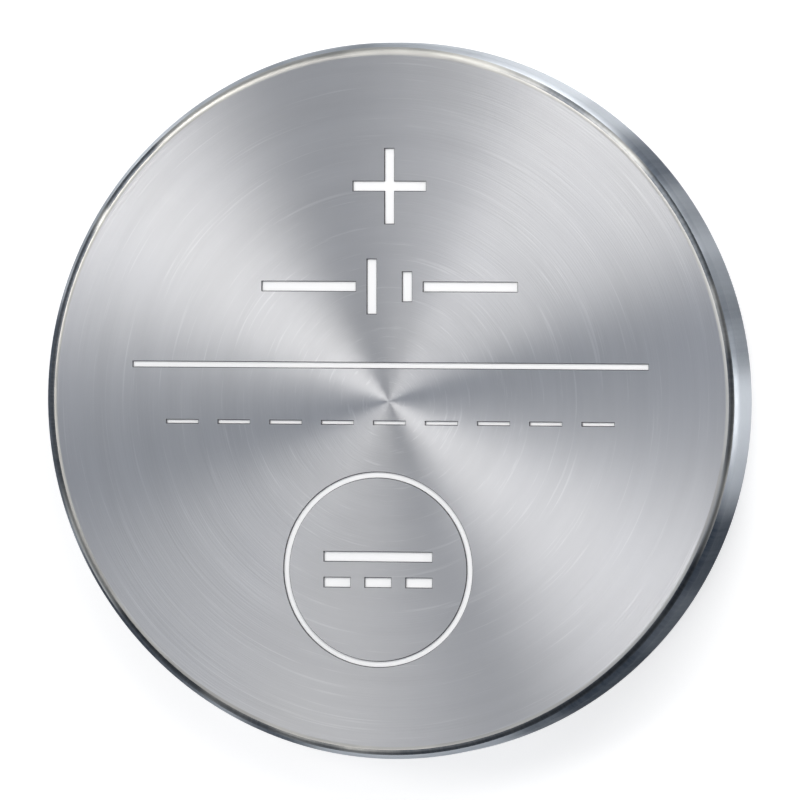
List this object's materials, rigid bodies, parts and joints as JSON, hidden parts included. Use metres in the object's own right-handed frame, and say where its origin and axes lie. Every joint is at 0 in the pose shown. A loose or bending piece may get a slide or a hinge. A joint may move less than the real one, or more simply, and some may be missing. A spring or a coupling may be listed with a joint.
{
  "type": "lithium coin cell",
  "caption": "Flat round lithium cell that powers small electronics, with a curled steel can, a stepped cap, a sealing gasket and an electrode stack inside.",
  "frame": {"origin": "middle of the negative contact face, on which the cell rests", "axes": "+Z along the cell's axis out of the positive face, +X to the right and +Y up as the picture shows that face"},
  "size_m": [0.02, 0.02, 0.0025],
  "materials": {
    "can_steel": "nickel-plated steel, brushed in circles on the face and plain on the wall",
    "cap_steel": "nickel-plated steel, satin",
    "gasket_plastic": "moulded polypropylene, natural colour",
    "lithium_foil": "soft rolled foil",
    "separator_sheet": "non-woven fibre sheet",
    "pellet_powder": "pressed powder, matt and slightly speckled",
    "mesh_steel": "plain steel mesh"
  },
  "bodies": {
    "root": {"positive_can": "can_steel", "negative_cap": "cap_steel", "sealing_gasket": "gasket_plastic", "lithium_anode": "lithium_foil", "separator": "separator_sheet", "cathode_pellet": "pellet_powder", "cathode_collector": "mesh_steel"}
  },
  "joints": []
}
